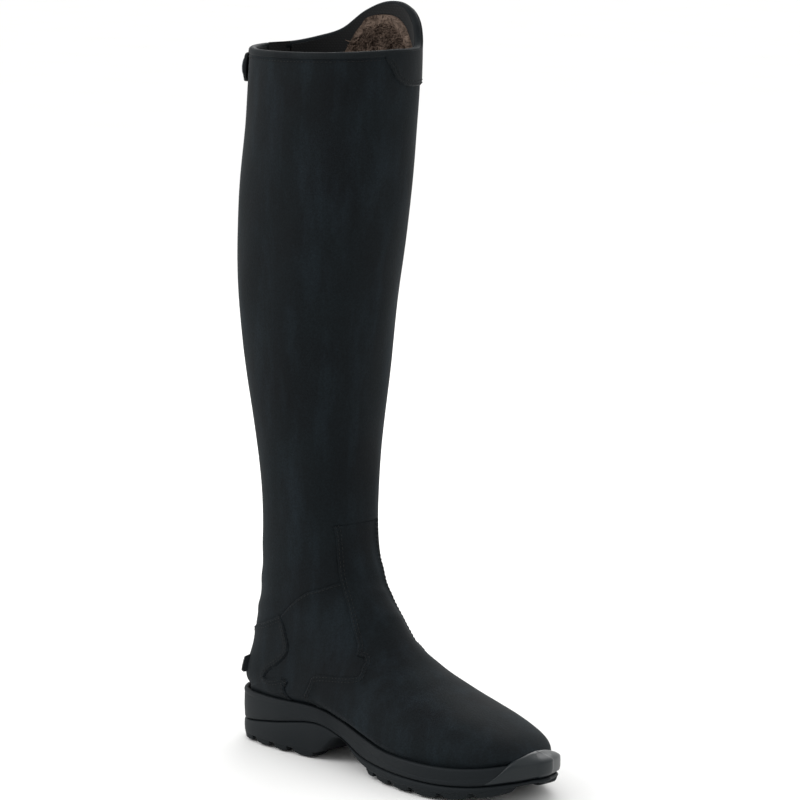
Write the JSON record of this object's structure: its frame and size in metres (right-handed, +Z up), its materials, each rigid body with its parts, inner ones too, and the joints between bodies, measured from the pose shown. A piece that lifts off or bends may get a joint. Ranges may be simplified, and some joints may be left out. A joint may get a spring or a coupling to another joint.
{
  "type": "tall riding boot",
  "caption": "Tall winter riding boot, left foot, with lug sole, fleece lining, arched outer top edge, back zip and snap tab.",
  "frame": {"origin": "centre of the bounding box on the ground plane the sole stands on", "axes": "+X towards the toe, +Y towards the outer side of the left leg, +Z up the shaft"},
  "size_m": [0.289, 0.111, 0.532],
  "materials": {
    "leather": "matt nubuck",
    "binding_leather": "smooth",
    "fleece": "pile",
    "facing": "smooth",
    "sole_rubber": "satin",
    "bumper_rubber": "polished",
    "board": "fibre board",
    "stiffener": "fibre",
    "steel": "brushed",
    "zip_tape": "woven",
    "zip_metal": "gunmetal",
    "zip_plastic": "moulded"
  },
  "bodies": {
    "root": {"outsole": "sole_rubber", "heel_lugs": "sole_rubber", "forefoot_lugs": "sole_rubber", "midsole": "sole_rubber", "rand": "sole_rubber", "toe_bumper": "bumper_rubber", "shank": "steel", "insole_board": "board", "footbed": "fleece", "vamp": "leather", "quarter_medial": "leather", "quarter_lateral": "leather", "heel_counter": "leather", "counter_stiffener": "stiffener", "toe_puff": "stiffener", "spur_rest": "binding_leather", "foot_lining": "fleece", "zip_stop": "zip_metal"},
    "half_medial": {"leg_medial": "leather", "leg_lining_medial": "fleece", "facing_medial": "facing", "placket_medial": "binding_leather", "zip_tape_medial": "zip_tape", "zip_teeth_medial": "zip_plastic", "top_binding_medial": "binding_leather", "snap_stud": "steel"},
    "half_lateral": {"leg_lateral": "leather", "leg_lining_lateral": "fleece", "facing_lateral": "facing", "placket_lateral": "binding_leather", "zip_tape_lateral": "zip_tape", "zip_teeth_lateral": "zip_plastic", "top_binding_lateral": "binding_leather", "cuff_patch": "binding_leather", "zip_guard": "facing"},
    "slider": {"zip_slider": "zip_metal"},
    "pull": {"zip_pull": "zip_metal"},
    "tab": {"snap_tab": "binding_leather", "snap_cap": "zip_metal"}
  },
  "joints": [
    {"name": "zip_travel", "type": "hinge", "parent": "root", "child": "slider", "pos_m": [0.978, 0, 0.328], "axis": [0, -1, 0], "range_deg": [0, 15.8]},
    {"name": "pull_swing", "type": "hinge", "parent": "slider", "child": "pull", "pos_m": [-0.14037, 0, 0.45974], "axis": [0, 1, 0], "range_deg": [0, 100]},
    {"name": "open_medial", "type": "hinge", "parent": "root", "child": "half_medial", "pos_m": [-0.0015, -0.0129, 0.502], "axis": [0.1078, -0.0098, 0.9941], "range_deg": [0, 9]},
    {"name": "open_lateral", "type": "hinge", "parent": "root", "child": "half_lateral", "pos_m": [-0.0015, -0.0129, 0.502], "axis": [-0.1078, 0.0098, -0.9941], "range_deg": [0, 9]},
    {"name": "tab_swing", "type": "hinge", "parent": "half_lateral", "child": "tab", "pos_m": [-0.1317, 0.01897, 0.4865], "axis": [0, 0, -1], "range_deg": [0, 112]}
  ],
  "couplings": [
    {"joint": "open_medial", "follows": "zip_travel", "ratio": 0.569},
    {"joint": "open_lateral", "follows": "zip_travel", "ratio": 0.569},
    {"joint": "tab_swing", "follows": "zip_travel", "ratio": 6.95}
  ]
}
